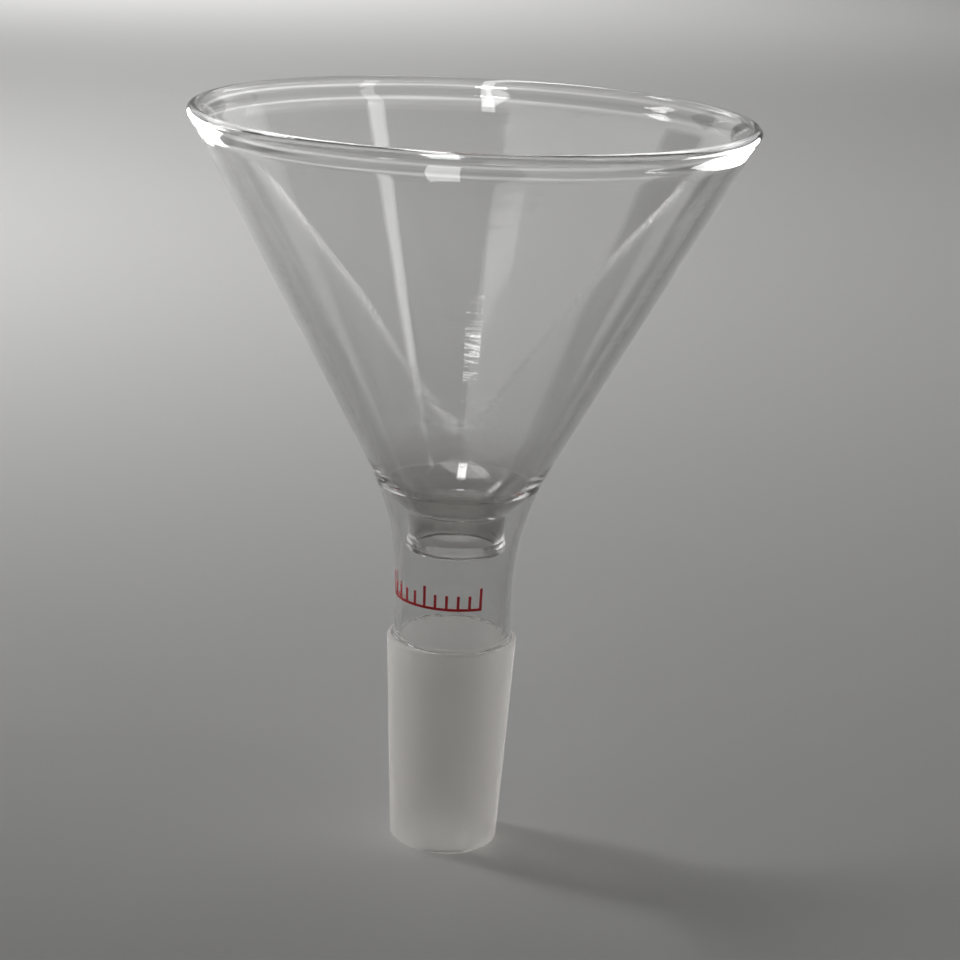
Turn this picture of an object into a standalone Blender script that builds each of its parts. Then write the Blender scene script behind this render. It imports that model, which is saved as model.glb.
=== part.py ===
"""Powder funnel with a standard-taper ground joint, in borosilicate glass.

Metres, +Z up, origin at the centre of the joint's lower end, mouth upwards.
The glass is one fused body, made from two workpieces. One is a bowl, whose
lip is fire polished and whose foot rounds in to a short stem. The other is a
joint blank: a ground cone with a neck tube, flared at its top and fused to
the bowl's foot by a ring seal, so that the stem hangs free inside the neck.
Each worked region is a solid of its own, turned about the Z axis.
"""

import math

import bmesh
import bpy

# Ground joint: standard taper, 1 in 10 on the diameter.
JOINT_LARGE_DIAMETER = 0.0240
JOINT_LENGTH = 0.0400
JOINT_TAPER = 0.10
TIP_BEVEL = 0.0006
TIP_INNER_BEVEL = 0.0004
LEDGE_ROUND = 0.0005

# Bowl and neck, outside.
MOUTH_DIAMETER = 0.1010
TOTAL_HEIGHT = 0.1370
CONE_HALF_ANGLE = math.radians(28.3)
NECK_DIAMETER = 0.0214
SHOULDER_RADIUS = 0.0550

# Glass thickness. The joint's bore eases into the neck's over its top part.
CONE_WALL = 0.0019
NECK_WALL = 0.0012
JOINT_WALL = 0.0022
JOINT_BORE_EASE = 0.0060

# Foot of the bowl: it rounds in from the cone to FOOT_ANGLE off the axis and
# turns down over the throat's edge into the stem. Radii of the inner face.
FOOT_RADIUS = 0.0180
FOOT_ANGLE = math.radians(52.0)
FOOT_WALL = 0.0011
THROAT_ROUND = 0.0024
STEM_BORE = 0.0156
STEM_BOTTOM = 0.0571
STEM_BEAD = 0.00035
STEM_BEAD_LENGTH = 0.0018

# Ring seal between the foot and the neck's flared top.
SEAL_INSIDE_HEIGHT = 0.0683
SEAL_OUTSIDE_HEIGHT = 0.0692
SEAL_GAP = 0.00045

# Fire-polished lip: the wall swells a little on both sides over its last
# LIP_SWELL_LENGTH and ends in a half round.
LIP_HEIGHT = 0.0048
LIP_SWELL = 0.00025
LIP_SWELL_LENGTH = 0.0040

# Fired enamel mark on the neck: a scale of plain ticks on a base line.
MARK_BOTTOM = 0.0479
MARK_TICKS = 11
MARK_LONG_TICK_EVERY = 5
MARK_TICK_HEIGHT = 0.0029
MARK_LONG_TICK_HEIGHT = 0.0043
MARK_LINE_WIDTH = 0.0005
MARK_THICKNESS = 0.0003
MARK_START = math.radians(183.0)
MARK_END = math.radians(299.0)

GAP = 0.0003
CONE_FOOT_RISE = 0.0020

# How finely the profiles are stepped, and how the meshes are finished.
SEGMENTS = 64
LEDGE_STEPS = 2
BORE_STEPS = 3
FLARE_STEPS = 7
BEAD_STEPS = 6
SHOULDER_STEPS = 4
FOOT_STEPS = 6
THROAT_STEPS = 4
UNDER_FOOT_STEPS = 3
UNDER_THROAT_STEPS = 2
SWELL_STEPS = 3
LIP_EDGE_STEPS = 8
SHARP_ANGLE = math.radians(35)
MERGE_DISTANCE = 1e-6

# ---- sizes worked out from the driving dimensions ----

joint_large_r = JOINT_LARGE_DIAMETER / 2
joint_small_r = joint_large_r - JOINT_LENGTH * JOINT_TAPER / 2
neck_r = NECK_DIAMETER / 2
neck_bore_r = neck_r - NECK_WALL
cone_slope = math.tan(CONE_HALF_ANGLE)
wall_run = CONE_WALL / math.cos(CONE_HALF_ANGLE)
lip_bottom_z = TOTAL_HEIGHT - LIP_HEIGHT

# The lip's half round stands on the middle of the wall.
lip_edge_r = CONE_WALL / 2 + LIP_SWELL
edge_centre_r = MOUTH_DIAMETER / 2 - lip_edge_r
edge_centre_z = TOTAL_HEIGHT - lip_edge_r

# The cone's outer line would meet the neck's at corner_z; the shoulder's arc
# is tangent to both. The foot takes in a little of the cone.
corner_z = edge_centre_z - (edge_centre_r + wall_run / 2 - neck_r) / cone_slope
tangent_run = SHOULDER_RADIUS * math.tan(CONE_HALF_ANGLE / 2)
shoulder_bottom_z = corner_z - tangent_run
shoulder_top_z = corner_z + tangent_run * math.cos(CONE_HALF_ANGLE)
cone_foot_z = shoulder_top_z + CONE_FOOT_RISE

# The foot's inner face is an arc tangent to the cone's inner line, and the
# throat's edge is an arc tangent to it and to the stem's bore.
stem_bore_r = STEM_BORE / 2
throat_centre_r = stem_bore_r + THROAT_ROUND
foot_centre_r = throat_centre_r - (FOOT_RADIUS + THROAT_ROUND) * math.cos(FOOT_ANGLE)
foot_top_r = foot_centre_r + FOOT_RADIUS * math.cos(CONE_HALF_ANGLE)
foot_top_z = edge_centre_z - (edge_centre_r - wall_run / 2 - foot_top_r) / cone_slope
foot_centre_z = foot_top_z + FOOT_RADIUS * math.sin(CONE_HALF_ANGLE)
throat_z = foot_centre_z - (FOOT_RADIUS + THROAT_ROUND) * math.sin(FOOT_ANGLE)


def eased(share):
    """0 to 1 with a soft start and end; held outside that range."""
    share = min(max(share, 0.0), 1.0)
    return share * share * (3 - 2 * share)


def outer_radius(z):
    """Outside radius of the neck, shoulder and cone at a height."""
    if z <= shoulder_bottom_z:
        return neck_r
    if z < shoulder_top_z:
        rise = z - shoulder_bottom_z
        return neck_r + SHOULDER_RADIUS - math.sqrt(SHOULDER_RADIUS**2 - rise**2)
    return edge_centre_r + wall_run / 2 - cone_slope * (edge_centre_z - z)


def neck_inner_radius(z):
    """Inside radius of the neck tube, whose wall is even up its flare."""
    rise = max(z - shoulder_bottom_z, 0.0)
    return neck_r + SHOULDER_RADIUS - math.sqrt((SHOULDER_RADIUS + NECK_WALL) ** 2 - rise**2)


def foot_arc(into_wall, start, end, steps):
    """Points of the foot, going down, at a depth into its wall. Angles are
    the wall's own, off the axis."""
    points = []
    for i in range(steps + 1):
        angle = start + (end - start) * i / steps
        reach = FOOT_RADIUS + into_wall
        points.append((foot_centre_r + reach * math.cos(angle), foot_centre_z - reach * math.sin(angle)))
    return points


def throat_arc(into_wall, steps):
    """Points of the throat's edge, from the foot down to the stem."""
    points = []
    for i in range(steps + 1):
        angle = FOOT_ANGLE * (1 - i / steps)
        reach = THROAT_ROUND - into_wall
        points.append((throat_centre_r - reach * math.cos(angle), throat_z + reach * math.sin(angle)))
    return points


def joint_bore(z):
    """Bore radius in the joint, whose wall is even but for its top."""
    even_r = joint_large_r - JOINT_WALL - (JOINT_LENGTH - z) * JOINT_TAPER / 2
    return even_r + (neck_bore_r - even_r) * eased(1 - (JOINT_LENGTH - z) / JOINT_BORE_EASE)


def heights(low, high, steps):
    """Evenly spaced heights, both ends among them."""
    return [low + (high - low) * i / steps for i in range(steps + 1)]


def arc(centre_r, centre_z, radius, start, end, steps):
    """Points of an arc in the profile plane; angles in degrees from +r."""
    points = []
    for i in range(steps + 1):
        angle = math.radians(start + (end - start) * i / steps)
        points.append((centre_r + radius * math.cos(angle), centre_z + radius * math.sin(angle)))
    return points


def glass(name, tint, roughness):
    """A Principled material for glass or enamel."""
    material = bpy.data.materials.new(name)
    material.use_nodes = True
    shader = material.node_tree.nodes["Principled BSDF"]
    shader.inputs["Base Color"].default_value = (*tint, 1.0)
    shader.inputs["Roughness"].default_value = roughness
    shader.inputs["Metallic"].default_value = 0.0
    return material


def add_object(name, bm, material):
    """Makes an object of the bmesh, shaded smooth, with faces pointing out."""
    bmesh.ops.recalc_face_normals(bm, faces=bm.faces)
    mesh = bpy.data.meshes.new(name)
    bm.to_mesh(mesh)
    bm.free()
    mesh.shade_smooth()
    mesh.set_sharp_from_angle(angle=SHARP_ANGLE)
    mesh.materials.append(material)
    piece = bpy.data.objects.new(name, mesh)
    bpy.context.collection.objects.link(piece)
    return piece


def turned(name, profile, material):
    """A closed profile of (radius, height) points, turned about Z."""
    bm = bmesh.new()
    rings = []
    for i in range(SEGMENTS):
        angle = 2 * math.pi * i / SEGMENTS
        rings.append([bm.verts.new((r * math.cos(angle), r * math.sin(angle), z)) for r, z in profile])
    for i, ring in enumerate(rings):
        following = rings[(i + 1) % SEGMENTS]
        for j in range(len(profile)):
            k = (j + 1) % len(profile)
            bm.faces.new((ring[j], following[j], following[k], ring[k]))
    return add_object(name, bm, material)


def ground_joint(material):
    """The ground cone, from its tip to the ledge under the neck."""
    outside = [
        (joint_small_r - TIP_BEVEL, 0.0),
        (joint_small_r + TIP_BEVEL * JOINT_TAPER / 2, TIP_BEVEL),
    ]
    ledge_centre = (joint_large_r - LEDGE_ROUND, JOINT_LENGTH - LEDGE_ROUND)
    outside += arc(*ledge_centre, LEDGE_ROUND, 0, 90, LEDGE_STEPS)
    bore_top = heights(JOINT_LENGTH - JOINT_BORE_EASE, JOINT_LENGTH, BORE_STEPS)
    inside = [(joint_bore(z), z) for z in reversed(bore_top)]
    inside.append((joint_bore(TIP_INNER_BEVEL), TIP_INNER_BEVEL))
    inside.append((joint_bore(0.0) + TIP_INNER_BEVEL, 0.0))
    return turned("ground_joint", outside + inside, material)


def neck_tube(material):
    """The clear tube of the joint blank, flared up to the ring seal."""
    low = JOINT_LENGTH + GAP
    outside_top = SEAL_OUTSIDE_HEIGHT - SEAL_GAP
    inside_top = SEAL_INSIDE_HEIGHT - SEAL_GAP
    outside = [(neck_r, low)]
    outside += [(outer_radius(z), z) for z in heights(shoulder_bottom_z, outside_top, FLARE_STEPS)]
    inside_heights = heights(shoulder_bottom_z, inside_top, FLARE_STEPS)
    inside = [(neck_inner_radius(z), z) for z in reversed(inside_heights)]
    inside.append((neck_bore_r, low))
    return turned("neck_tube", outside + inside, material)


def stem_tip(material):
    """The bowl's short stem inside the neck, with a fire-polished end."""
    top = throat_z - GAP
    middle_r = stem_bore_r + FOOT_WALL / 2
    bead_r = FOOT_WALL / 2 + STEM_BEAD
    bead_z = STEM_BOTTOM + bead_r
    thin_z = bead_z + STEM_BEAD_LENGTH
    inside = [(stem_bore_r, top), (stem_bore_r, thin_z)]
    outside = [(stem_bore_r + FOOT_WALL, thin_z), (stem_bore_r + FOOT_WALL, top)]
    end = arc(middle_r, bead_z, bead_r, 180, 360, BEAD_STEPS)
    return turned("stem_tip", inside + end + outside, material)


def bowl_foot(material):
    """The rounded foot of the bowl, from the cone to the stem."""
    shoulder_heights = heights(SEAL_OUTSIDE_HEIGHT, shoulder_top_z, SHOULDER_STEPS)
    outside = [(outer_radius(z), z) for z in shoulder_heights]
    outside.append((outer_radius(cone_foot_z), cone_foot_z))
    inside = [(outer_radius(cone_foot_z) - wall_run, cone_foot_z)]
    inside += foot_arc(0.0, CONE_HALF_ANGLE, FOOT_ANGLE, FOOT_STEPS)
    inside += throat_arc(0.0, THROAT_STEPS)[1:]
    seal_angle = math.asin((foot_centre_z - SEAL_INSIDE_HEIGHT) / (FOOT_RADIUS + FOOT_WALL))
    under = foot_arc(FOOT_WALL, seal_angle, FOOT_ANGLE, UNDER_FOOT_STEPS)
    under += throat_arc(FOOT_WALL, UNDER_THROAT_STEPS)[1:]
    return turned("bowl_foot", outside + inside + under[::-1], material)


def bowl_cone(material):
    """The conical wall between the foot and the lip."""
    low = cone_foot_z + GAP
    high = lip_bottom_z - GAP
    outside = [(outer_radius(low), low), (outer_radius(high), high)]
    inside = [(outer_radius(high) - wall_run, high), (outer_radius(low) - wall_run, low)]
    return turned("bowl_cone", outside + inside, material)


def rim_lip(material):
    """The fire-polished lip, laid out along the wall's middle line: down is
    the distance from the half round's centre, aside is across the wall."""
    sine, cosine = math.sin(CONE_HALF_ANGLE), math.cos(CONE_HALF_ANGLE)

    def across(down, aside):
        return (
            edge_centre_r - down * sine + aside * cosine,
            edge_centre_z - down * cosine - aside * sine,
        )

    def half_wall(down):
        return CONE_WALL / 2 + LIP_SWELL * eased(1 - down / LIP_SWELL_LENGTH)

    downs = heights(0.0, LIP_SWELL_LENGTH, SWELL_STEPS)
    outside = [(outer_radius(lip_bottom_z), lip_bottom_z)]
    outside += [across(down, half_wall(down)) for down in reversed(downs)]
    turns = [math.pi * i / LIP_EDGE_STEPS for i in range(1, LIP_EDGE_STEPS)]
    edge = [across(-lip_edge_r * math.sin(a), lip_edge_r * math.cos(a)) for a in turns]
    inside = [across(down, -half_wall(down)) for down in downs]
    inside.append((outer_radius(lip_bottom_z) - wall_run, lip_bottom_z))
    return turned("rim_lip", outside + edge + inside, material)


def enamel_mark(material):
    """A base line round the neck's front left, with upright ticks on it.

    It is one comb-shaped solid: a grid of cells in angle and height, of
    which the ticks and the base line are filled.
    """
    inner_r = neck_r + GAP
    tick_angle = MARK_LINE_WIDTH / neck_r
    spacing = (MARK_END - MARK_START - tick_angle) / (MARK_TICKS - 1)
    columns = []
    for i in range(MARK_TICKS):
        start = MARK_START + spacing * i
        is_long = i % MARK_LONG_TICK_EVERY == 0
        columns.append((start, start + tick_angle, MARK_LONG_TICK_HEIGHT if is_long else MARK_TICK_HEIGHT))
        if i < MARK_TICKS - 1:
            columns += [
                (start + tick_angle, start + spacing / 2 + tick_angle / 2, None),
                (start + spacing / 2 + tick_angle / 2, start + spacing, None),
            ]
    base_top = MARK_BOTTOM + MARK_LINE_WIDTH
    bm = bmesh.new()
    faces = []
    for start, end, height in columns:
        levels = [MARK_BOTTOM, base_top]
        if height is not None:
            levels.append(MARK_BOTTOM + height)
        for low, high in zip(levels, levels[1:]):
            corners = ((start, low), (end, low), (end, high), (start, high))
            cell = [
                bm.verts.new((inner_r * math.cos(a), inner_r * math.sin(a), z)) for a, z in corners
            ]
            faces.append(bm.faces.new(cell))
    bmesh.ops.remove_doubles(bm, verts=bm.verts, dist=MERGE_DISTANCE)
    sheet = list(bm.faces)
    extruded = bmesh.ops.extrude_face_region(bm, geom=sheet)
    grow = (inner_r + MARK_THICKNESS) / inner_r
    for vert in (v for v in extruded["geom"] if isinstance(v, bmesh.types.BMVert)):
        vert.co.x *= grow
        vert.co.y *= grow
    return add_object("enamel_mark", bm, material)


def main():
    for old in list(bpy.data.objects):
        bpy.data.objects.remove(old, do_unlink=True)
    clear = glass("clear_borosilicate", (0.86, 0.88, 0.87), 0.03)
    ground = glass("ground_borosilicate", (0.66, 0.64, 0.62), 0.6)
    enamel = glass("red_enamel", (0.52, 0.02, 0.025), 0.4)
    ground_joint(ground)
    neck_tube(clear)
    stem_tip(clear)
    bowl_foot(clear)
    bowl_cone(clear)
    rim_lip(clear)
    enamel_mark(enamel)


main()
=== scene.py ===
"""Looks of the powder funnel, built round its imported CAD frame.

Metres, +Z up. Every glass region of the CAD is replaced by a finely turned
piece with the same outline. The pieces meet face to face where the real
glass is fused, and their seam faces are see-through, so light crosses the
seams as it crosses solid glass. Some lamps light a few pieces only.
"""

import math

import bmesh
import bpy
from mathutils import Matrix, Vector, noise


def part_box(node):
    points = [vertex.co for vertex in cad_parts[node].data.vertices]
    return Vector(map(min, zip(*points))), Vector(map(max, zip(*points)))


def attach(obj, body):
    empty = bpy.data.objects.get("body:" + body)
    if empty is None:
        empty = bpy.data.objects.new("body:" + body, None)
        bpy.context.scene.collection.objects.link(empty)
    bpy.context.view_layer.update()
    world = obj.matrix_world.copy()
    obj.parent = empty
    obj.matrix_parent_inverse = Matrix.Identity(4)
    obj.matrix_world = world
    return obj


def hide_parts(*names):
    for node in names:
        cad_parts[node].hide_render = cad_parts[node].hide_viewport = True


BODY = "root"

# How finely the pieces are turned and stepped.
SEGMENTS = 256
SHARP_ANGLE = math.radians(38)
LIP_STEP = 0.0002
LIP_EDGE_STEPS = 24
CONE_STEP = 0.0015
FOOT_STEP = 0.0005
FOOT_ARC_STEPS = 30
THROAT_ARC_STEPS = 16
UNDER_FOOT_STEPS = 16
UNDER_THROAT_STEPS = 8
WEDGE_STEP = 0.0002
WEDGE_ARC_STEPS = 6
WEDGE_HALVINGS = 40
STEM_STEP = 0.0004
STEM_END_STEPS = 20
NECK_STEP = 0.0006
NECK_INSIDE_STEP = 0.0005
JOINT_STEP = 0.001
EDGE_STEPS = 6
RING_TOLERANCE = 1e-5
SAME_POINT = 1e-9

# Shapes that the frame's rings don't give, as the CAD has them.
SHOULDER_RADIUS = 0.0550
FOOT_RADIUS = 0.0180
FOOT_ANGLE = math.radians(52.0)
THROAT_ROUND = 0.0024
STEM_BEAD = 0.00035
STEM_BEAD_LENGTH = 0.0018
SEAL_INSIDE_HEIGHT = 0.0683
SEAL_OUTSIDE_HEIGHT = 0.0692
JOINT_SLOPE = 0.05
JOINT_BORE_EASE = 0.0060
TIP_INNER_BEVEL = 0.0004
LIP_SWELL = 0.00025
LIP_SWELL_LENGTH = 0.0040
# Fine shapes that the CAD leaves out.
TIP_BEVEL = 0.0006
LEDGE_ROUND = 0.0005
LEDGE_FILLET = 0.0006
PRINT_PROUD = 0.00006
PRINT_SUNK = 0.00003
WAVER_SIZE = 0.00005
WAVER_FADE = 0.012

GLASS_IOR = 1.474
# A grey tint: the glass's faint grey, deepened into painted shade that darkens whatever is seen
# through the glass.
CLEAR_TINT = (0.90, 0.90, 0.895)
# Painted shade: the throat gathers dark surroundings, and this darker tint
# stands in for them. It is at full strength from the height below down.
THROAT_PAINTED_SHADE = (0.70, 0.685, 0.675)
PAINTED_SHADE_TOP = 0.0690

# A floor disc, flat to SWEEP_RADIUS less the bend, and its wall.
SWEEP_RADIUS = 3.2
SWEEP_BEND = 0.8
SWEEP_HEIGHT = 3.2
SWEEP_CENTRE_RADIUS = 0.4
SWEEP_BEND_STEPS = 24
SWEEP_SEGMENTS = 128

LAMP_DISTANCE = 1.2
LAMP_TARGET = Vector((0.0, 0.0, 0.09))
LIP_LAMP_DISTANCE = 0.2
CARD_DISTANCE = 0.128
FLOOR_LAMP_DISTANCE = 0.088
POOL_LAMP_WIDTH = 14
WORLD_STRENGTH = 0.08
LIGHT_BOUNCES = 64

# Camera, in the photograph's place.
CAMERA_BACK = 0.4492
CAMERA_HEIGHT = 0.1965
CAMERA_PITCH = 0.2748
CAMERA_YAW = -0.0087
CAMERA_ROLL = 0.0477
CAMERA_LENS = 95.8

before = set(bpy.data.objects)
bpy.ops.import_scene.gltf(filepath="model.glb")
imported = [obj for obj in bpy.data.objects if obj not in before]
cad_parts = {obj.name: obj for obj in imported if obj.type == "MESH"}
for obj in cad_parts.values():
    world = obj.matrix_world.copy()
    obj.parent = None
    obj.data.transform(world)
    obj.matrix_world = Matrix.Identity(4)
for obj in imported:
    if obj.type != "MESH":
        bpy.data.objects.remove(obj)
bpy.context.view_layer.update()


def end_ring(node, high):
    """(inner radius, outer radius, height) of a turned CAD node's end."""
    low_corner, high_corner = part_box(node)
    height = high_corner.z if high else low_corner.z
    radii = [
        math.hypot(v.co.x, v.co.y)
        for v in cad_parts[node].data.vertices
        if abs(v.co.z - height) < RING_TOLERANCE
    ]
    return min(radii), max(radii), height


# ---- sizes read from the frame ----

tip_ring_r, _, tip_z = end_ring("ground_joint", False)
neck_bore_r, _, ledge_z = end_ring("ground_joint", True)
_, neck_r, _ = end_ring("neck_tube", False)
joint_large_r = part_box("ground_joint")[1].x
stem_bore_r, stem_r, throat_z = end_ring("bowl_foot", False)
stem_bottom_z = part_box("stem_tip")[0].z
cone_foot_inner, cone_foot_outer, cone_foot_z = end_ring("bowl_cone", False)
_, cone_head_outer, cone_head_z = end_ring("bowl_cone", True)
_, _, lip_seam_z = end_ring("rim_lip", False)
mouth_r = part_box("rim_lip")[1].x
mouth_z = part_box("rim_lip")[1].z

cone_slope = (cone_head_outer - cone_foot_outer) / (cone_head_z - cone_foot_z)
cone_angle = math.atan(cone_slope)
wall_run = cone_foot_outer - cone_foot_inner
corner_z = cone_foot_z - (cone_foot_outer - neck_r) / cone_slope
tangent_run = SHOULDER_RADIUS * math.tan(cone_angle / 2)
shoulder_bottom_z = corner_z - tangent_run
shoulder_top_z = corner_z + tangent_run * math.cos(cone_angle)
# The lip's half round stands on the middle of the wall.
half_wall = wall_run * math.cos(cone_angle) / 2
lip_edge_r = half_wall + LIP_SWELL
edge_centre_r = mouth_r - lip_edge_r
edge_centre_z = mouth_z - lip_edge_r
# The foot's inner face is an arc tangent to the cone's inner line, and the
# throat's edge is an arc tangent to it and to the stem's bore.
neck_wall = neck_r - neck_bore_r
foot_wall = stem_r - stem_bore_r
throat_centre_r = stem_bore_r + THROAT_ROUND
foot_centre_r = throat_centre_r - (FOOT_RADIUS + THROAT_ROUND) * math.cos(FOOT_ANGLE)
foot_centre_z = throat_z + (FOOT_RADIUS + THROAT_ROUND) * math.sin(FOOT_ANGLE)


def eased(share):
    """0 to 1 with a soft start and end; held outside that range."""
    share = min(max(share, 0.0), 1.0)
    return share * share * (3 - 2 * share)


def outer_radius(z):
    """Outside radius of the neck, shoulder and cone at a height."""
    if z <= shoulder_bottom_z:
        return neck_r
    if z < shoulder_top_z:
        rise = z - shoulder_bottom_z
        return neck_r + SHOULDER_RADIUS - math.sqrt(SHOULDER_RADIUS**2 - rise**2)
    return cone_foot_outer + cone_slope * (z - cone_foot_z)


def neck_inner_radius(z):
    """Inside radius of the neck tube, whose wall is even up its flare."""
    rise = max(z - shoulder_bottom_z, 0.0)
    return neck_r + SHOULDER_RADIUS - math.sqrt((SHOULDER_RADIUS + neck_wall) ** 2 - rise**2)


def foot_point(into_wall, angle):
    """A point of the foot at a depth into its wall, whose own angle off the
    axis is given."""
    reach = FOOT_RADIUS + into_wall
    return foot_centre_r + reach * math.cos(angle), foot_centre_z - reach * math.sin(angle)


def foot_arc(into_wall, start, end, steps):
    """Points of the foot, going down, at a depth into its wall."""
    return [foot_point(into_wall, start + (end - start) * i / steps) for i in range(steps + 1)]


def throat_arc(into_wall, steps):
    """Points of the throat's edge, from the foot down to the stem."""
    points = []
    for i in range(steps + 1):
        angle = FOOT_ANGLE * (1 - i / steps)
        reach = THROAT_ROUND - into_wall
        points.append((throat_centre_r - reach * math.cos(angle), throat_z + reach * math.sin(angle)))
    return points


def joint_bore(z):
    """Bore radius in the ground joint, whose wall is even but for its top."""
    even_r = tip_ring_r - TIP_INNER_BEVEL + (z - tip_z) * JOINT_SLOPE
    return even_r + (neck_bore_r - even_r) * eased(1 - (ledge_z - z) / JOINT_BORE_EASE)


def heights(low, high, step):
    """Even heights from low to high, both among them, about step apart."""
    count = max(1, round((high - low) / step))
    return [low + (high - low) * i / count for i in range(count + 1)]


def arc(centre_r, centre_z, radius, start, end, steps):
    """Points of an arc in the profile plane; angles in degrees from +r."""
    points = []
    for i in range(steps + 1):
        angle = math.radians(start + (end - start) * i / steps)
        points.append((centre_r + radius * math.cos(angle), centre_z + radius * math.sin(angle)))
    return points


def waver(radius, z, angle):
    """How far hand-worked glass strays from a true turned form, in metres:
    soft, drawn out round the ring, and none on the ground joint."""
    share = min(max((z - ledge_z) / WAVER_FADE, 0.0), 1.0)
    place = Vector((math.cos(angle) * 1.6, math.sin(angle) * 1.6, z * 55.0 + radius * 20.0))
    return share * WAVER_SIZE * noise.noise(place)


# ---- building ----


def new_piece(name, bm, materials, slot, *nodes):
    """Links a mesh as a piece that rides on the body and stands for nodes."""
    bmesh.ops.recalc_face_normals(bm, faces=bm.faces)
    mesh = bpy.data.meshes.new(name)
    bm.to_mesh(mesh)
    bm.free()
    for material in materials:
        mesh.materials.append(material)
    mesh.shade_smooth()
    mesh.set_sharp_from_angle(angle=SHARP_ANGLE)
    piece = bpy.data.objects.new(name, mesh)
    bpy.context.scene.collection.objects.link(piece)
    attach(piece, BODY)
    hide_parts(*nodes)
    return piece


def turned(name, profile, faces_material, materials, slot, node):
    """Turns a closed profile round Z. faces_material[j] is the material
    index of the faces between profile points j and j + 1."""
    bm = bmesh.new()
    rings = []
    for i in range(SEGMENTS):
        angle = 2 * math.pi * i / SEGMENTS
        ring = []
        for r, z in profile:
            wavy = r + waver(r, z, angle)
            ring.append(bm.verts.new((wavy * math.cos(angle), wavy * math.sin(angle), z)))
        rings.append(ring)
    for i, ring in enumerate(rings):
        following = rings[(i + 1) % SEGMENTS]
        for j in range(len(profile)):
            k = (j + 1) % len(profile)
            face = bm.faces.new((ring[j], following[j], following[k], ring[k]))
            face.material_index = faces_material[j]
    return new_piece(name, bm, materials, slot, node)


def closed_profile(*stretches):
    """Joins (points, material index) stretches into one closed profile.

    A stretch's last point is joined to the next one's first; where they are
    the same point it is kept once. Returns the points and one index for each
    run of faces that starts at a point.
    """
    points, indices = [], []
    for stretch, index in stretches:
        for point in stretch:
            if points and math.dist(points[-1], point) < SAME_POINT:
                indices[-1] = index
                continue
            points.append(point)
            indices.append(index)
    if math.dist(points[0], points[-1]) < SAME_POINT:
        points.pop()
        indices.pop()
    return points, indices


# ---- materials ----


def new_material(name):
    """A node material and its tree, with the default shader left in."""
    material = bpy.data.materials.new(name)
    material.use_nodes = True
    return material, material.node_tree


def add(tree, kind, **values):
    """A node with its input sockets set by name."""
    node = tree.nodes.new(kind)
    for key, value in values.items():
        node.inputs[key.replace("_", " ")].default_value = value
    return node


def open_to_lamps(tree, shader, face_on, edge_on):
    """Lets shadow rays through glass: most of the light where they meet it
    face on, and less towards grazing, where real glass turns it aside."""
    path = tree.nodes.new("ShaderNodeLightPath")
    facing = add(tree, "ShaderNodeLayerWeight", Blend=0.35)
    loss = tree.nodes.new("ShaderNodeMix")
    loss.data_type = "RGBA"
    loss.inputs["A"].default_value = (*face_on, 1.0)
    loss.inputs["B"].default_value = (*edge_on, 1.0)
    through = tree.nodes.new("ShaderNodeBsdfTransparent")
    mix = tree.nodes.new("ShaderNodeMixShader")
    output = tree.nodes["Material Output"]
    tree.links.new(facing.outputs["Facing"], loss.inputs["Factor"])
    tree.links.new(loss.outputs["Result"], through.inputs["Color"])
    tree.links.new(path.outputs["Is Shadow Ray"], mix.inputs[0])
    tree.links.new(shader.outputs[0], mix.inputs[1])
    tree.links.new(through.outputs[0], mix.inputs[2])
    tree.links.new(mix.outputs[0], output.inputs["Surface"])


def clear_glass(name, tint, painted_shade=None):
    """Fire-polished borosilicate: nearly colourless, with faint handling smears,
    and drawn in fine rings round the axis. Its grey tint is partly painted shade;
    a darker painted shade, where one is given, comes in softly below the cone's foot."""
    material, tree = new_material(name)
    shader = tree.nodes["Principled BSDF"]
    shader.inputs["Base Color"].default_value = (*tint, 1.0)
    shader.inputs["Transmission Weight"].default_value = 1.0
    shader.inputs["IOR"].default_value = GLASS_IOR
    place = tree.nodes.new("ShaderNodeTexCoord")
    smears = add(tree, "ShaderNodeTexNoise", Scale=70.0, Detail=6.0, Roughness=0.6)
    span = add(tree, "ShaderNodeMapRange", From_Min=0.5, From_Max=0.8, To_Min=0.0, To_Max=0.07)
    tree.links.new(place.outputs["Object"], smears.inputs["Vector"])
    tree.links.new(smears.outputs["Fac"], span.inputs["Value"])
    tree.links.new(span.outputs["Result"], shader.inputs["Roughness"])
    drawn = add(tree, "ShaderNodeMapping", Scale=(14.0, 14.0, 420.0))
    rings = add(tree, "ShaderNodeTexNoise", Scale=1.0, Detail=3.0, Roughness=0.55)
    bump = add(tree, "ShaderNodeBump", Strength=0.25, Distance=0.0001)
    tree.links.new(place.outputs["Object"], drawn.inputs["Vector"])
    tree.links.new(drawn.outputs["Vector"], rings.inputs["Vector"])
    tree.links.new(rings.outputs["Fac"], bump.inputs["Height"])
    tree.links.new(bump.outputs["Normal"], shader.inputs["Normal"])
    if painted_shade:
        # Painted shade: darker from the foot of the cone down towards the throat.
        height_of = tree.nodes.new("ShaderNodeSeparateXYZ")
        depth = add(tree, "ShaderNodeMapRange", From_Min=cone_foot_z, From_Max=PAINTED_SHADE_TOP)
        blend = tree.nodes.new("ShaderNodeMix")
        blend.data_type = "RGBA"
        blend.inputs["A"].default_value = (*tint, 1.0)
        blend.inputs["B"].default_value = (*painted_shade, 1.0)
        tree.links.new(place.outputs["Object"], height_of.inputs["Vector"])
        tree.links.new(height_of.outputs["Z"], depth.inputs["Value"])
        tree.links.new(depth.outputs["Result"], blend.inputs["Factor"])
        tree.links.new(blend.outputs["Result"], shader.inputs["Base Color"])
    open_to_lamps(tree, shader, (0.93, 0.93, 0.93), (0.45, 0.45, 0.45))
    return material


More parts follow.
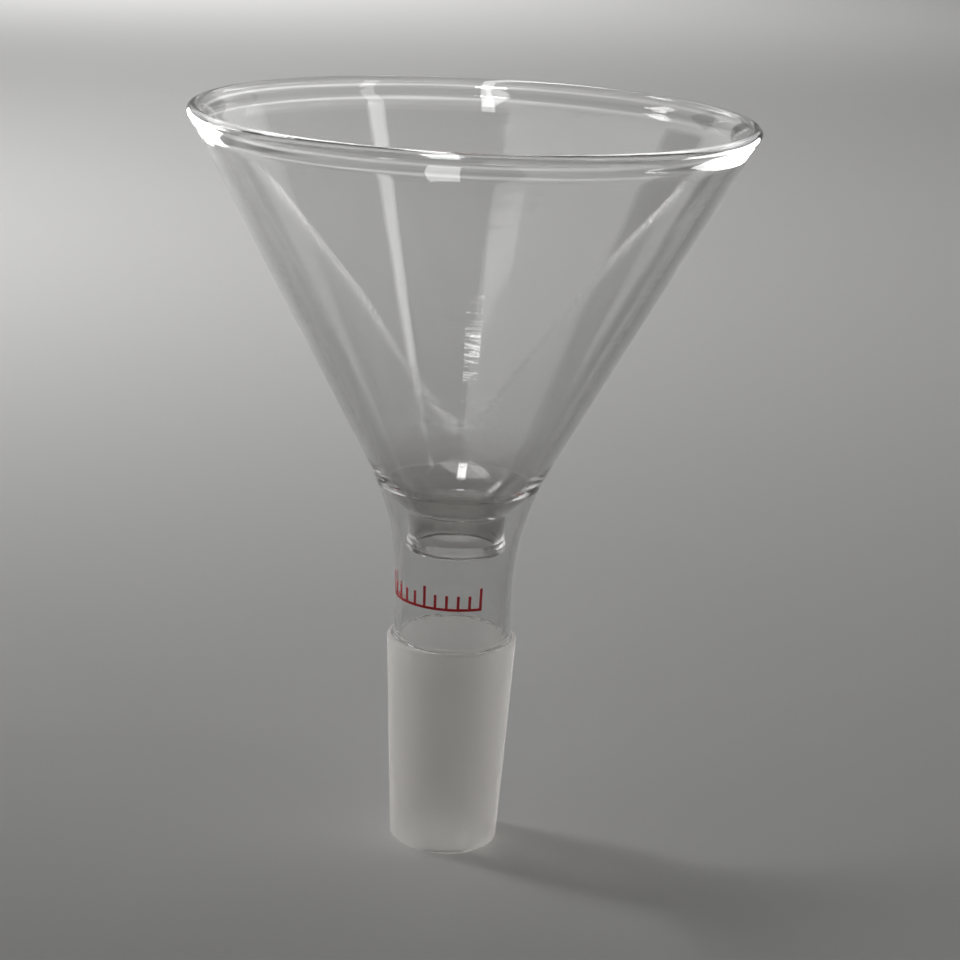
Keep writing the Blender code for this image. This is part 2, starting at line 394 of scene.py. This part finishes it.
def ground_glass():
    """The ground zone: matt, finely ringed by the grinding tool."""
    material, tree = new_material("ground_glass")
    shader = tree.nodes["Principled BSDF"]
    shader.inputs["Base Color"].default_value = (0.86, 0.835, 0.81, 1.0)
    shader.inputs["Transmission Weight"].default_value = 0.82
    shader.inputs["IOR"].default_value = GLASS_IOR
    shader.inputs["Roughness"].default_value = 0.55
    place = tree.nodes.new("ShaderNodeTexCoord")
    drawn = add(tree, "ShaderNodeMapping", Scale=(60.0, 60.0, 2600.0))
    rings = add(tree, "ShaderNodeTexNoise", Scale=1.0, Detail=5.0, Roughness=0.65)
    bump = add(tree, "ShaderNodeBump", Strength=0.35, Distance=0.0001)
    tree.links.new(place.outputs["Object"], drawn.inputs["Vector"])
    tree.links.new(drawn.outputs["Vector"], rings.inputs["Vector"])
    tree.links.new(rings.outputs["Fac"], bump.inputs["Height"])
    tree.links.new(bump.outputs["Normal"], shader.inputs["Normal"])
    open_to_lamps(tree, shader, (0.75, 0.74, 0.72), (0.4, 0.4, 0.4))
    return material


def fused_seam():
    """Inside solid glass there is no surface: light goes straight on."""
    material, tree = new_material("fused_seam")
    tree.nodes.remove(tree.nodes["Principled BSDF"])
    through = add(tree, "ShaderNodeBsdfTransparent", Color=(1.0, 1.0, 1.0, 1.0))
    tree.links.new(through.outputs[0], tree.nodes["Material Output"].inputs["Surface"])
    return material


def red_enamel():
    """Fired red print."""
    material, tree = new_material("red_enamel")
    shader = tree.nodes["Principled BSDF"]
    shader.inputs["Base Color"].default_value = (0.80, 0.035, 0.04, 1.0)
    shader.inputs["Roughness"].default_value = 0.35
    return material


# ---- the glass ----

# Places of the materials on a piece. The ground joint has ground glass in the
# first place and clear glass, for its bore, in the third.
CLEAR, GROUND, SEAM, BORE = 0, 0, 1, 2


def across_lip(down, aside):
    """(radius, height) of a point near the lip, by its distance down the
    wall from the half round's centre and aside from the wall's middle."""
    sine, cosine = math.sin(cone_angle), math.cos(cone_angle)
    radius = edge_centre_r - down * sine + aside * cosine
    return radius, edge_centre_z - down * cosine - aside * sine


def rim_lip(clear, seam):
    swellings = [
        (down, half_wall + LIP_SWELL * eased(1 - down / LIP_SWELL_LENGTH))
        for down in heights(0.0, LIP_SWELL_LENGTH, LIP_STEP)
    ]
    outside = [(outer_radius(lip_seam_z), lip_seam_z)]
    outside += [across_lip(down, half) for down, half in swellings[::-1]]
    turn = [math.pi * i / LIP_EDGE_STEPS for i in range(1, LIP_EDGE_STEPS)]
    edge = [across_lip(-lip_edge_r * math.sin(a), lip_edge_r * math.cos(a)) for a in turn]
    inside = [across_lip(down, -half) for down, half in swellings]
    inside.append((outer_radius(lip_seam_z) - wall_run, lip_seam_z))
    profile, index = closed_profile((outside + edge + inside, CLEAR), (inside[-1:], SEAM))
    return turned("rim_lip_glass", profile, index, (clear, seam), "clear_glass", "rim_lip")


def bowl_cone(clear, seam):
    levels = heights(cone_foot_z, lip_seam_z, CONE_STEP)
    outside = [(outer_radius(z), z) for z in levels]
    inside = [(outer_radius(z) - wall_run, z) for z in levels[::-1]]
    profile, index = closed_profile(
        (outside, CLEAR), (outside[-1:], SEAM), (inside, CLEAR), (inside[-1:], SEAM)
    )
    return turned("bowl_cone_glass", profile, index, (clear, seam), "clear_glass", "bowl_cone")


def gap_top():
    """The top of the gap between the neck's flare and the foot, where their
    faces close in a wedge. Returns points from the flare over to the foot,
    the place of the wedge's tip among them and the foot's angle at the end."""
    seal_angle = math.asin((foot_centre_z - SEAL_INSIDE_HEIGHT) / (FOOT_RADIUS + foot_wall))
    shut, tip_angle = cone_angle, seal_angle
    for _ in range(WEDGE_HALVINGS):
        middle = (shut + tip_angle) / 2
        radius, z = foot_point(foot_wall, middle)
        if neck_inner_radius(z) > radius:
            tip_angle = middle
        else:
            shut = middle
    foot_side = foot_arc(foot_wall, tip_angle, seal_angle, WEDGE_ARC_STEPS)
    flare_heights = heights(SEAL_INSIDE_HEIGHT, foot_side[0][1], WEDGE_STEP)[:-1]
    flare_side = [(neck_inner_radius(z), z) for z in flare_heights]
    return flare_side + foot_side, len(flare_side), seal_angle


def bowl_foot(clear, seam):
    top, tip, seal_angle = gap_top()
    shoulder_heights = heights(SEAL_OUTSIDE_HEIGHT, cone_foot_z, FOOT_STEP)
    outside = [(outer_radius(z), z) for z in shoulder_heights]
    inside = [(outer_radius(cone_foot_z) - wall_run, cone_foot_z)]
    inside += foot_arc(0.0, cone_angle, FOOT_ANGLE, FOOT_ARC_STEPS)
    inside += throat_arc(0.0, THROAT_ARC_STEPS)[1:]
    under = top[tip:]
    under += foot_arc(foot_wall, seal_angle, FOOT_ANGLE, UNDER_FOOT_STEPS)[1:]
    under += throat_arc(foot_wall, UNDER_THROAT_STEPS)[1:]
    profile, index = closed_profile(
        (outside, CLEAR), (outside[-1:], SEAM), (inside, CLEAR), (inside[-1:], SEAM),
        (under[::-1], CLEAR), (under[:1], SEAM),
    )
    return turned("bowl_foot_glass", profile, index, (clear, seam), "clear_glass", "bowl_foot")


def stem_tip(clear, seam):
    """The short stem inside the neck, with its end fire polished to a bead."""
    middle_r = (stem_bore_r + stem_r) / 2
    bead_r = foot_wall / 2 + STEM_BEAD
    bead_z = stem_bottom_z + bead_r
    swellings = [
        (z, foot_wall / 2 + STEM_BEAD * eased(1 - (z - bead_z) / STEM_BEAD_LENGTH))
        for z in heights(bead_z, throat_z, STEM_STEP)
    ]
    inside = [(middle_r - half, z) for z, half in swellings[::-1]]
    end = arc(middle_r, bead_z, bead_r, 180, 360, STEM_END_STEPS)
    outside = [(middle_r + half, z) for z, half in swellings]
    profile, index = closed_profile((inside + end[1:-1] + outside, CLEAR), (outside[-1:], SEAM))
    return turned("stem_tip_glass", profile, index, (clear, seam), "clear_glass", "stem_tip")


def neck_tube(clear, seam):
    top, tip, _ = gap_top()
    fillet_top = ledge_z + LEDGE_FILLET
    outside = arc(neck_r + LEDGE_FILLET, fillet_top, LEDGE_FILLET, 270, 180, EDGE_STEPS)
    outside += [(outer_radius(z), z) for z in heights(fillet_top, SEAL_OUTSIDE_HEIGHT, NECK_STEP)]
    inside = top[tip::-1]
    inside_heights = heights(ledge_z, SEAL_INSIDE_HEIGHT, NECK_INSIDE_STEP)[::-1]
    inside += [(neck_inner_radius(z), z) for z in inside_heights[1:]]
    profile, index = closed_profile(
        (outside, CLEAR), (outside[-1:], SEAM), (inside, CLEAR), (inside[-1:], SEAM)
    )
    return turned("neck_tube_glass", profile, index, (clear, seam), "clear_glass", "neck_tube")


def ground_joint(ground, seam, clear):
    small_r = joint_large_r - (ledge_z - tip_z) * JOINT_SLOPE
    ledge_low = ledge_z - LEDGE_ROUND
    outside = arc(small_r - TIP_BEVEL, tip_z + TIP_BEVEL, TIP_BEVEL, 270, 357, EDGE_STEPS)
    outside += [
        (small_r + (z - tip_z) * JOINT_SLOPE, z)
        for z in heights(tip_z + TIP_BEVEL, ledge_low, JOINT_STEP)
    ]
    outside += arc(joint_large_r - LEDGE_ROUND, ledge_low, LEDGE_ROUND, 0, 90, EDGE_STEPS)
    ledge = [(neck_r + LEDGE_FILLET, ledge_z)]
    seam_inner = [(joint_bore(ledge_z), ledge_z)]
    bore_low = tip_z + TIP_INNER_BEVEL
    inside = [(joint_bore(z), z) for z in heights(bore_low, ledge_z, JOINT_STEP)[::-1]]
    inside.append((tip_ring_r, tip_z))
    profile, index = closed_profile(
        (outside, GROUND), (ledge, SEAM), (seam_inner, BORE), (inside, BORE)
    )
    materials = (ground, seam, clear)
    return turned("ground_joint_glass", profile, index, materials, "ground_glass", "ground_joint")


def enamel_mark(enamel):
    """The mark's CAD outline, laid on the glass as thin print."""
    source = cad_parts["enamel_mark"].data
    bm = bmesh.new()
    bm.from_mesh(source)
    radii = [math.hypot(v.co.x, v.co.y) for v in bm.verts]
    middle = (min(radii) + max(radii)) / 2
    for vert, radius in zip(bm.verts, radii):
        wanted = outer_radius(vert.co.z) + (PRINT_PROUD if radius > middle else -PRINT_SUNK)
        vert.co.x *= wanted / radius
        vert.co.y *= wanted / radius
    return new_piece("enamel_mark_print", bm, (enamel,), "red_enamel", "enamel_mark")


# ---- studio ----


def sweep():
    """A floor disc that curves up into a wall all round."""
    material, tree = new_material("studio_paper")
    shader = tree.nodes["Principled BSDF"]
    shader.inputs["Base Color"].default_value = (0.55, 0.548, 0.54, 1.0)
    shader.inputs["Roughness"].default_value = 0.9
    profile = [(0.0, 0.0), (SWEEP_CENTRE_RADIUS, 0.0)]
    profile += arc(SWEEP_RADIUS - SWEEP_BEND, SWEEP_BEND, SWEEP_BEND, 270, 360, SWEEP_BEND_STEPS)
    profile.append((SWEEP_RADIUS, SWEEP_HEIGHT))
    bm = bmesh.new()
    previous = None
    for r, z in profile:
        if r == 0.0:
            ring = [bm.verts.new((0.0, 0.0, z))]
        else:
            ring = [
                bm.verts.new((r * math.cos(a), r * math.sin(a), z))
                for a in (2 * math.pi * i / SWEEP_SEGMENTS for i in range(SWEEP_SEGMENTS))
            ]
        if previous is not None:
            for i in range(SWEEP_SEGMENTS):
                j = (i + 1) % SWEEP_SEGMENTS
                if len(previous) == 1:
                    bm.faces.new((previous[0], ring[i], ring[j]))
                else:
                    bm.faces.new((previous[i], ring[i], ring[j], previous[j]))
        previous = ring
    mesh = bpy.data.meshes.new("studio_sweep")
    bm.to_mesh(mesh)
    bm.free()
    mesh.materials.append(material)
    mesh.shade_smooth()
    floor = bpy.data.objects.new("studio_sweep", mesh)
    bpy.context.scene.collection.objects.link(floor)


def lamp(
    name, azimuth, elevation, width, height, radiance, distance=LAMP_DISTANCE, target=LAMP_TARGET
):
    """A rectangular lamp that faces its target. Angles are in degrees as the
    target sees them, azimuth from the camera's side towards +X."""
    around, up = math.radians(azimuth), math.radians(elevation)
    aim = Vector((-math.sin(around) * math.cos(up), math.cos(around) * math.cos(up), -math.sin(up)))
    data = bpy.data.lights.new(name, "AREA")
    data.shape = "RECTANGLE"
    data.size = 2 * distance * math.tan(math.radians(width / 2))
    data.size_y = 2 * distance * math.tan(math.radians(height / 2))
    data.energy = radiance * math.pi * data.size * data.size_y
    holder = bpy.data.objects.new(name, data)
    holder.matrix_world = (
        Matrix.Translation(Vector(target) - aim * distance)
        @ aim.to_track_quat("-Z", "Y").to_matrix().to_4x4()
    )
    bpy.context.scene.collection.objects.link(holder)
    return holder


def pool(name, centre, reach, watts, azimuth=-90, elevation=62, distance=1.3):
    """A gridded lamp, whose pool of light on the floor fades out at reach."""
    width = height = POOL_LAMP_WIDTH
    holder = lamp(name, azimuth, elevation, width, height, 1.0, distance, (*centre, 0.0))
    holder.data.energy = watts
    holder.data.spread = 2 * math.atan(reach / distance)


def shine_only_on(holder, *pieces):
    """Keeps a lamp's light and its reflection to some pieces."""
    receivers = bpy.data.collections.new(holder.name + "_receivers")
    for piece in pieces:
        receivers.objects.link(piece)
    holder.light_linking.receiver_collection = receivers


def lights(lip, cone, foot, neck, joint):
    world = bpy.data.worlds.new("studio")
    bpy.context.scene.world = world
    world.use_nodes = True
    background = world.node_tree.nodes["Background"]
    background.inputs["Color"].default_value = (1.0, 1.0, 1.0, 1.0)
    background.inputs["Strength"].default_value = WORLD_STRENGTH
    # The floor: light at the far left, and darker towards the near right.
    pool("pool_far", (-0.15, 1.9), 1.9, 10.0)
    pool("pool_near", (-0.34, 0.52), 0.72, 2.1)
    # For every piece. The glass mirrors the ceiling lamp and the windows as streaks.
    lamp("side_left", -146, 20, 24, 20, 0.9)
    lamp("side_right", 140, 22, 34, 18, 0.9)
    lamp("ceiling_a", -8, 44.6, 12, 0.5, 60.0)
    lamp("window_right", 57, 42.5, 6, 11, 4.0)
    lamp("window_left", -25, 46.5, 15, 3, 1.4)
    # The lip: its bright ends, two highlights, and soft light from all round.
    left_end, right_end = (-mouth_r, 0.0, edge_centre_z), (mouth_r, 0.0, edge_centre_z)
    near_lip = (-0.022, -mouth_r, edge_centre_z)
    shine_only_on(lamp("lip_left", -142, -9, 36, 30, 15.0, LIP_LAMP_DISTANCE, left_end), lip)
    shine_only_on(lamp("lip_right", 118, -9, 72, 30, 11.0, LIP_LAMP_DISTANCE, right_end), lip)
    shine_only_on(lamp("lip_strip", -90, 84, 100, 6, 9.0), lip)
    shine_only_on(lamp("lip_card", 2, -81, 11, 20, 7.0, CARD_DISTANCE, near_lip), lip)
    shine_only_on(lamp("lip_sky", 0, 90, 140, 140, 1.1), lip)
    shine_only_on(lamp("lip_floor", 0, -89, 150, 150, 0.25, FLOOR_LAMP_DISTANCE), lip)
    shine_only_on(lamp("lip_front", 0, 0, 120, 60, 1.2), lip)
    # The inside of the bowl, down to the throat.
    shine_only_on(lamp("bowl_wall", -60, 40, 80, 36, 1.3), cone, foot)
    shine_only_on(lamp("foot_ceiling", -20, 55, 96, 24, 2.6), foot)
    shine_only_on(lamp("foot_window", -8, 60, 11, 20, 30.0), foot)
    # The neck and, through it, the stem. Then the joint's two edges.
    shine_only_on(lamp("neck_front", 0, 4, 140, 30, 3.0), neck)
    shine_only_on(lamp("joint_left", -95, 5, 50, 40, 2.6), joint)
    shine_only_on(lamp("joint_right", 95, 5, 50, 40, 2.3), joint)


def camera():
    """The camera in the photograph's place, turned by pitch, yaw and roll."""
    data = bpy.data.cameras.new("camera")
    data.lens = CAMERA_LENS
    data.sensor_width = 36.0
    data.clip_start, data.clip_end = 0.01, 20.0
    holder = bpy.data.objects.new("camera", data)
    holder.matrix_world = (
        Matrix.Translation((0.0, -CAMERA_BACK, CAMERA_HEIGHT))
        @ Matrix.Rotation(math.pi / 2, 4, "X")
        @ Matrix.Rotation(CAMERA_YAW, 4, "Y")
        @ Matrix.Rotation(-CAMERA_PITCH, 4, "X")
        @ Matrix.Rotation(CAMERA_ROLL, 4, "Z")
    )
    bpy.context.scene.collection.objects.link(holder)
    bpy.context.scene.camera = holder


def main():
    camera()
    clear = clear_glass("clear_glass", CLEAR_TINT)
    # Clear glass with painted shade towards the throat.
    throat = clear_glass("throat_glass_painted_shade", CLEAR_TINT, THROAT_PAINTED_SHADE)
    ground, seam = ground_glass(), fused_seam()
    lip = rim_lip(clear, seam)
    cone = bowl_cone(clear, seam)
    foot = bowl_foot(throat, seam)
    stem_tip(throat, seam)
    neck = neck_tube(clear, seam)
    joint = ground_joint(ground, seam, clear)
    enamel_mark(red_enamel())
    sweep()
    lights(lip, cone, foot, neck, joint)
    scene = bpy.context.scene
    scene.view_settings.view_transform = "Standard"
    scene.cycles.max_bounces = LIGHT_BOUNCES
    scene.cycles.transmission_bounces = LIGHT_BOUNCES
    scene.cycles.glossy_bounces = LIGHT_BOUNCES
    scene.cycles.transparent_max_bounces = LIGHT_BOUNCES


main()
